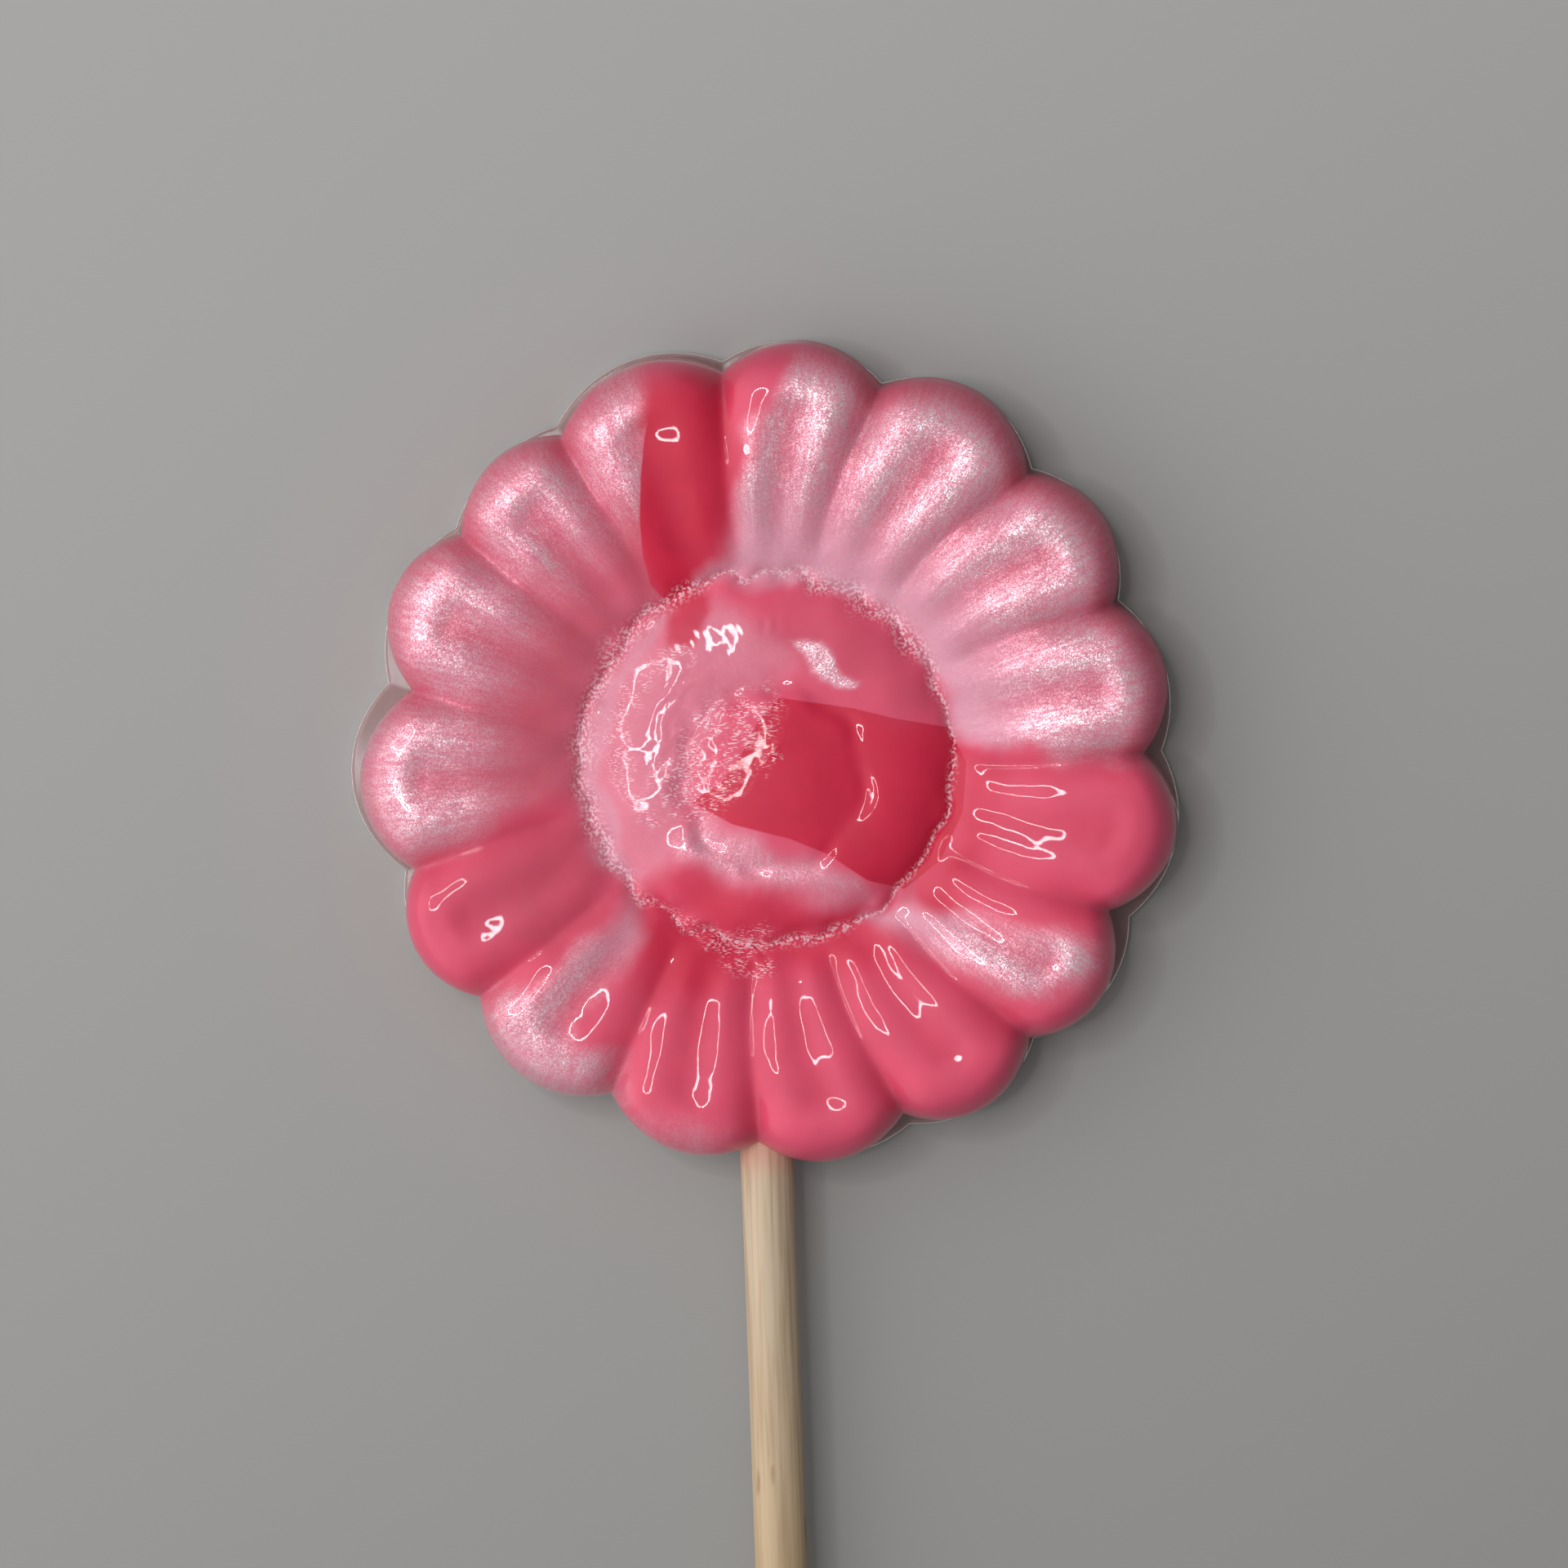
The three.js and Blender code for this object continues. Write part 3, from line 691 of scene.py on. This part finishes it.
# Colours are linear. Lengths are in millimetres, and the scales of clouds and streaks are in
# cells a metre and cells a unit of flow.
candyPaint = {
    # body colours, and how much of each the fields bring in
    "rose": (0.72, 0.085, 0.165), "crimson": (0.6, 0.02, 0.06), "pool": (0.6, 0.018, 0.06),
    # the hollows' colours deepen the valleys and grooves: partly less pearl there, partly painted shade
    "dusk": (0.55, 0.09, 0.14), "duskShare": 0.6, "hollowShadeShare": 0.3,
    "pearl": (0.64, 0.185, 0.28), "pearlHollowShade": (0.63, 0.11, 0.19),
    "milky": (0.68, 0.31, 0.41), "milkyShare": 0.9,
    # the rim colours deepen the petals' edge and the wall: partly the sugar's deeper edge, partly painted
    # shade
    "rimShadeRose": (0.4, 0.055, 0.1), "rimPlumShade": (0.46, 0.06, 0.12), "rimShadeShare": 0.7, "rimClearing": 0.9,
    "wedgeBlur": 0.08, "poolBlur": 0.06, "cloud": 420.0, "cloudSwing": 0.2,
    # mica in the pearl
    "mica": (0.82, 0.74, 0.78), "micaRoughness": 0.34, "satinFrom": 0.3, "flake": 0.08, "flakeTilt": 0.22,
    "flakeCover": 0.38, "flakeSwing": 0.65, "hollowThinning": 0.6, "milkyCover": 0.12,
    "streak": 1.1, "streakSwing": 1.8, "fineStreak": 4.5, "fineStreakSwing": 2.2, "frostedCoat": 0.06,
    # crinkled sugar, and the beads of the crease; the scuffed white on their crests and beads is a painted
    # highlight
    "paintedGlint": (0.92, 0.62, 0.69), "crinkle": 0.11, "crinkleTurn": -32, "crinkleLength": 0.3,
    "crinkleDepth": 0.012, "crinkleRoughness": 0.2, "crinkleGlint": 0.85, "crinkleCoatLoss": 0.7,
    "crinklePatches": 900.0, "patchEdges": (0.35, 0.55), "crestEdges": (0.52, 0.64),
    "bead": 0.24, "beadGlint": 0.75, "beadEdges": (0.46, 0.6),
    # gloss and the glow of light inside the sugar
    "sugarRoughness": 0.5, "coatRoughness": 0.03, "coatIor": 1.3, "baseSpecular": 0.15,
    "glow": 0.4, "glowDepth": 2.0, "glowColours": (1.0, 0.3, 0.3),
}


def candyPearl(tree):
    # where there is pearl: not beyond the wedge's sharp side, in the pool or at the deep-coloured rim, whose
    # colour is partly painted shade
    c = candyPaint
    wedge = between(tree, field(tree, "wedgeEdge"), -c["wedgeBlur"], c["wedgeBlur"], 1.0, 0.0)
    pearl = calculate(tree, "MAXIMUM", field(tree, "pearl"), product(tree, field(tree, "leftPearl"), wedge))
    pool = between(tree, field(tree, "poolEdge"), -c["poolBlur"], c["poolBlur"])
    rim = product(tree, field(tree, "rim"), field(tree, "rimShadeTone"))
    offRim = oneLess(tree, product(tree, rim, c["rimClearing"]))
    pearl = product(tree, pearl, oneLess(tree, pool), offRim)
    return pearl, pool, rim


def candyMica(tree, clouds, place, pearl):
    # mica flakes: cells of a fine mosaic, in streaks that run out along the petals, thinner in the
    # hollows and where the pearl is milky; each cell has its own share and leans its own way
    c = candyPaint
    flow = node(tree, "Attribute", attribute_name="flow").outputs["Vector"]
    wide = cloudy(tree, clouds, flow, c["streak"], c["streakSwing"])
    fine = cloudy(tree, clouds, flow, c["fineStreak"], c["fineStreakSwing"])
    thinned = oneLess(tree, product(tree, field(tree, "hollow"), c["hollowThinning"]))
    milky = between(tree, field(tree, "milk"), 0.0, 1.0, 1.0, c["milkyCover"])
    cover = product(tree, pearl, c["flakeCover"], wide, fine, thinned, milky)
    cells = node(tree, "TexVoronoi", {"Vector": place, "Scale": 1 / (c["flake"] * mm)})
    position = {"Vector": cells.outputs["Position"]}
    drawn = node(tree, "TexWhiteNoise", position, noise_dimensions="3D").outputs["Value"]
    share = between(tree, drawn, 0.0, 1.0, 1 - c["flakeSwing"], 1 + c["flakeSwing"])
    mica = calculate(tree, "MULTIPLY", cover, share, clamp=True)
    centred = {0: cells.outputs["Color"], 1: (0.5, 0.5, 0.5)}
    lean = node(tree, "VectorMath", centred, operation="SUBTRACT").outputs[0]
    lean = scaled(tree, lean, product(tree, pearl, c["flakeTilt"]))
    facing = node(tree, "NewGeometry").outputs["Normal"]
    facing = node(tree, "VectorMath", {0: facing, 1: lean}, operation="ADD").outputs[0]
    return mica, node(tree, "VectorMath", {0: facing}, operation="NORMALIZE").outputs[0]


def candyColour(tree, clouds, place, pearl, pool, rim):
    # red sugar, deepened in the hollows partly by painted shade, then pearl over it, then the dusky parts and
    # the rim's painted shade, clouded a little
    c = candyPaint
    hollow = field(tree, "hollow")
    colour = blendColours(tree, field(tree, "crimson"), c["rose"], c["crimson"])
    # the valleys and grooves turn deeper red, partly as painted shade, and so does the pearl in them below
    colour = blendColours(tree, product(tree, hollow, c["hollowShadeShare"]), colour, c["crimson"])
    colour = blendColours(tree, pool, colour, c["pool"])
    pearlColour = blendColours(tree, hollow, c["pearl"], c["pearlHollowShade"])
    milky = product(tree, field(tree, "milk"), c["milkyShare"])
    pearlColour = blendColours(tree, milky, pearlColour, c["milky"])
    colour = blendColours(tree, pearl, colour, pearlColour)
    colour = blendColours(tree, product(tree, field(tree, "dusk"), c["duskShare"]), colour, c["dusk"])
    # painted shade on the rim and the wall, turning plum on the right
    rimShadeColour = blendColours(tree, field(tree, "rimPlumShade"), c["rimShadeRose"], c["rimPlumShade"])
    colour = blendColours(tree, product(tree, rim, c["rimShadeShare"]), colour, rimShadeColour)
    return scaled(tree, colour, cloudy(tree, clouds, place, c["cloud"], c["cloudSwing"]))


def makeCandyMaterial(clouds):
    c = candyPaint
    material, tree = newMaterial("marbled boiled sugar")
    place = node(tree, "TexCoord").outputs["Object"]
    pearl, pool, rim = candyPearl(tree)
    mica, facing = candyMica(tree, clouds, place, pearl)
    colour = candyColour(tree, clouds, place, pearl, pool, rim)
    # crinkled sugar: fine slanting wrinkles that break up the clear coat, with painted highlights whitening
    # their crests
    slanted = stretched(tree, place, (c["crinkleLength"], 1.0, 1.0), -c["crinkleTurn"])
    wrinkles = noise(tree, slanted, 1 / (c["crinkle"] * mm))
    patchy = between(tree, noise(tree, place, c["crinklePatches"]), *c["patchEdges"])
    crinkled = product(tree, field(tree, "crinkle"), patchy)
    crestGlints = product(tree, crinkled, between(tree, wrinkles, *c["crestEdges"]), c["crinkleGlint"])
    colour = blendColours(tree, crestGlints, colour, c["paintedGlint"])
    colour = blendColours(tree, mica, colour, c["mica"])
    # painted glints: the crease's beads of sugar are whitened where it glitters
    grains = noise(tree, place, 1 / (c["bead"] * mm))
    beads = product(tree, field(tree, "crease"), between(tree, grains, *c["beadEdges"]), c["beadGlint"])
    colour = blendColours(tree, beads, colour, c["paintedGlint"])
    height = product(tree, wrinkles, crinkled)
    relief = {"Height": height, "Distance": c["crinkleDepth"] * mm, "Normal": facing}
    smoothCoat = oneLess(tree, product(tree, crinkled, c["crinkleCoatLoss"]))
    frosted = between(tree, field(tree, "frost"), 0.0, 1.0, 1.0, c["frostedCoat"])
    roughness = between(tree, pearl, 0.0, c["satinFrom"], c["sugarRoughness"], c["micaRoughness"])
    eased = {"Value": crinkled, "To Min": roughness, "To Max": c["crinkleRoughness"]}
    shader = node(tree, "BsdfPrincipled", {
        "Base Color": colour,
        "Metallic": mica,
        "Roughness": node(tree, "MapRange", eased).outputs["Result"],
        "Normal": node(tree, "Bump", relief).outputs[0],
        "Coat Weight": product(tree, smoothCoat, frosted),
        "Specular IOR Level": c["baseSpecular"],
        "Coat Roughness": c["coatRoughness"],
        "Coat IOR": c["coatIor"],
        "Subsurface Weight": c["glow"],
        "Subsurface Radius": c["glowColours"],
        "Subsurface Scale": c["glowDepth"] * mm,
    })
    finishMaterial(tree, shader)
    return material


clearPaint = {
    "tint": (0.62, 0.43, 0.42), "roughness": 0.18, "clearness": 0.75, "ior": 1.42,
    "cloud": 240.0, "cloudSwing": 0.12,
}


def makeClearMaterial(clouds):
    c = clearPaint
    material, tree = newMaterial("clear boiled sugar")
    place = node(tree, "TexCoord").outputs["Object"]
    tint = node(tree, "RGB").outputs[0]
    tint.default_value = (*c["tint"], 1)
    shader = node(tree, "BsdfPrincipled", {
        "Base Color": scaled(tree, tint, cloudy(tree, clouds, place, c["cloud"], c["cloudSwing"])),
        "Roughness": c["roughness"],
        "Transmission Weight": c["clearness"],
        "IOR": c["ior"],
    })
    finishMaterial(tree, shader)
    return material


# Lengths are in millimetres, scales in cells a metre.
woodPaint = {
    "pale": (0.53, 0.41, 0.29), "low": (0.47, 0.33, 0.18), "paleEnd": -35, "lowStart": -75,
    "grain": (0.34, 0.22, 0.12), "grainShare": 0.55, "grainEdges": (0.42, 0.7),
    "grainScale": 2600.0, "grainLength": 0.035,
    "fleck": (0.3, 0.16, 0.07), "fleckShare": 0.6, "fleckEdges": (0.68, 0.74),
    "fleckScale": 520.0, "fleckLength": 0.3,
    "stain": (0.6, 0.2, 0.16), "stainShare": 0.5, "stainEnd": -32.5, "stainFade": 3,
    "cloud": 700.0, "cloudSwing": 0.3, "relief": 0.06, "reliefStrength": 0.35, "roughness": 0.62,
}


def makeWoodMaterial(clouds):
    w = woodPaint
    material, tree = newMaterial("pale birch")
    place = node(tree, "TexCoord").outputs["Object"]
    along = node(tree, "SeparateXYZ", {0: place}).outputs["Y"]
    lower = between(tree, along, w["paleEnd"] * mm, w["lowStart"] * mm)
    colour = blendColours(tree, lower, w["pale"], w["low"])
    # fibres: noise drawn out along the stick
    drawn = stretched(tree, place, (1.0, w["grainLength"], 1.0))
    fibres = noise(tree, drawn, w["grainScale"], detail=5.0)
    grain = product(tree, between(tree, fibres, *w["grainEdges"]), w["grainShare"])
    colour = blendColours(tree, grain, colour, w["grain"])
    # short brown flecks
    flecks = noise(tree, stretched(tree, place, (1.0, w["fleckLength"], 1.0)), w["fleckScale"])
    fleck = product(tree, between(tree, flecks, *w["fleckEdges"]), w["fleckShare"])
    colour = blendColours(tree, fleck, colour, w["fleck"])
    # syrup has soaked into the wood just outside the candy
    soaked = between(tree, along, w["stainEnd"] * mm, (w["stainEnd"] + w["stainFade"]) * mm)
    colour = blendColours(tree, product(tree, soaked, w["stainShare"]), colour, w["stain"])
    colour = scaled(tree, colour, cloudy(tree, clouds, drawn, w["cloud"], w["cloudSwing"]))
    relief = {"Height": fibres, "Strength": w["reliefStrength"], "Distance": w["relief"] * mm}
    shader = node(tree, "BsdfPrincipled", {
        "Base Color": colour,
        "Roughness": w["roughness"],
        "Normal": node(tree, "Bump", relief).outputs[0],
    })
    finishMaterial(tree, shader)
    return material


# Camera and lights. Distances are in millimetres, angles in degrees; left and up are as the camera sees
# them, from the direction to the camera.
studio = {
    "imageTurn": 2, "lookAt": (1.23, -1.98, 6), "lean": (0.03, 0.05), "distance": 500,
    "frameWidth": 118.5, "sensorWidth": 36,
    "ringLeft": 20, "ringUp": 5, "ringDistance": 700, "ringOuter": 11, "ringInner": 9.8,
    "ringSides": 96, "ringStrength": 44,
    "windowLeft": 60, "windowUp": 0, "windowStrength": 2.4, "shadeStrength": 0.2, "windowSpread": 5,
    "floorBright": (0.39, 0.385, 0.378), "floorDim": (0.225, 0.22, 0.21), "floorRoughness": 0.9,
    "dimTowards": (0.5, -0.86, 0), "dimStart": -110, "dimEnd": 176, "floorSize": 2400, "floorDrop": 0.05,
}


def viewAxes():
    # right and up of the photograph on the face of the flower, and the direction to the camera
    turn = np.radians(studio["imageTurn"])
    right = Vector((np.cos(turn), -np.sin(turn), 0))
    up = Vector((np.sin(turn), np.cos(turn), 0))
    toCamera = (right * studio["lean"][0] + up * studio["lean"][1] + Vector((0, 0, 1))).normalized()
    return right, up, toCamera


def facingMatrix(place, direction, up):
    # a frame at place whose own +Z points along direction
    side = up.cross(direction).normalized()
    upward = direction.cross(side)
    matrix = Matrix((side, upward, direction)).transposed().to_4x4()
    matrix.translation = place
    return matrix


def makeCamera():
    print("camera")
    right, up, toCamera = viewAxes()
    across, along, height = studio["lookAt"]
    target = (right * across + up * along + Vector((0, 0, height))) * mm
    data = bpy.data.cameras.new("camera")
    data.sensor_width = studio["sensorWidth"]
    data.lens = studio["sensorWidth"] * studio["distance"] / studio["frameWidth"]
    camera = bpy.data.objects.new("camera", data)
    camera.matrix_world = facingMatrix(target + toCamera * studio["distance"] * mm, toCamera, up)
    bpy.context.scene.collection.objects.link(camera)
    bpy.context.scene.camera = camera


def lightDirection(left, upwards):
    right, up, toCamera = viewAxes()
    lean = up * np.tan(np.radians(upwards)) - right * np.tan(np.radians(left))
    return (toCamera + lean).normalized()


def makeRingLight():
    # a flat glowing ring between two circles
    print("ring light")
    s = studio
    up = viewAxes()[1]
    direction = lightDirection(s["ringLeft"], s["ringUp"])
    sides = s["ringSides"]
    turn = np.linspace(0, 2 * np.pi, sides, endpoint=False)
    radii = [s["ringDistance"] * np.tan(np.radians(angle)) * mm for angle in (s["ringInner"], s["ringOuter"])]
    verts = np.concatenate([np.stack([r * np.cos(turn), r * np.sin(turn), 0 * turn], -1) for r in radii])
    step = np.arange(sides)
    following = (step + 1) % sides
    faces = np.stack([step, following, sides + following, sides + step], -1)
    mesh = bpy.data.meshes.new("ring_light")
    mesh.from_pydata(verts, [], faces.tolist())
    mesh.transform(facingMatrix(direction * s["ringDistance"] * mm, direction, up))
    ring = bpy.data.objects.new("ring_light", mesh)
    bpy.context.scene.collection.objects.link(ring)
    glow, tree = newMaterial("ring glow")
    finishMaterial(tree, node(tree, "Emission", {"Strength": s["ringStrength"]}))
    mesh.materials.append(glow)
    ring.visible_camera = False


def makeDaylight():
    # soft daylight from the left: the sky's strength follows the angle to the window, as
    # shade + (window - shade) * ((1 + cosine) / 2) ^ spread
    print("daylight")
    s = studio
    world = bpy.data.worlds.new("studio")
    world.use_nodes = True
    tree = emptyTree(world.node_tree)
    towards = node(tree, "TexCoord").outputs["Generated"]
    directions = {0: towards, 1: lightDirection(s["windowLeft"], s["windowUp"])}
    cosine = node(tree, "VectorMath", directions, operation="DOT_PRODUCT").outputs["Value"]
    half = calculate(tree, "ADD", product(tree, cosine, 0.5), 0.5)
    share = calculate(tree, "POWER", half, s["windowSpread"])
    window = product(tree, share, s["windowStrength"] - s["shadeStrength"])
    sky = node(tree, "Background", {"Strength": calculate(tree, "ADD", window, s["shadeStrength"])})
    tree.links.new(sky.outputs[0], node(tree, "OutputWorld").inputs[0])
    bpy.context.scene.world = world
    bpy.context.scene.view_settings.view_transform = "Standard"


def makeFloor():
    # grey paper, on which the light falls off towards the lower right
    print("floor")
    s = studio
    half, drop = s["floorSize"] / 2 * mm, -s["floorDrop"] * mm
    corners = [(-half, -half, drop), (half, -half, drop), (half, half, drop), (-half, half, drop)]
    mesh = bpy.data.meshes.new("floor")
    mesh.from_pydata(corners, [], [(0, 1, 2, 3)])
    floor = bpy.data.objects.new("floor", mesh)
    bpy.context.scene.collection.objects.link(floor)
    paper, tree = newMaterial("grey paper")
    place = {0: node(tree, "TexCoord").outputs["Object"], 1: s["dimTowards"]}
    fall = node(tree, "VectorMath", place, operation="DOT_PRODUCT").outputs["Value"]
    dim = between(tree, fall, s["dimStart"] * mm, s["dimEnd"] * mm)
    colour = blendColours(tree, dim, s["floorBright"], s["floorDim"])
    look = {"Base Color": colour, "Roughness": s["floorRoughness"]}
    finishMaterial(tree, node(tree, "BsdfPrincipled", look))
    mesh.materials.append(paper)


clouds = makeCloudGroup()
flower = makeFlower()
flower.data.materials.append(makeCandyMaterial(clouds))
clearBack = makeClearBack()
clearBack.data.materials.append(makeClearMaterial(clouds))
stick = makeStick()
stick.data.materials.append(makeWoodMaterial(clouds))
for piece, slot, solid in (
    (flower, "candy", "flower_head"),
    (clearBack, "candy", "flower_head"),
    (stick, "wood", "stick"),
):
    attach(piece, "root")
    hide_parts(solid)
makeFloor()
makeRingLight()
makeDaylight()
makeCamera()
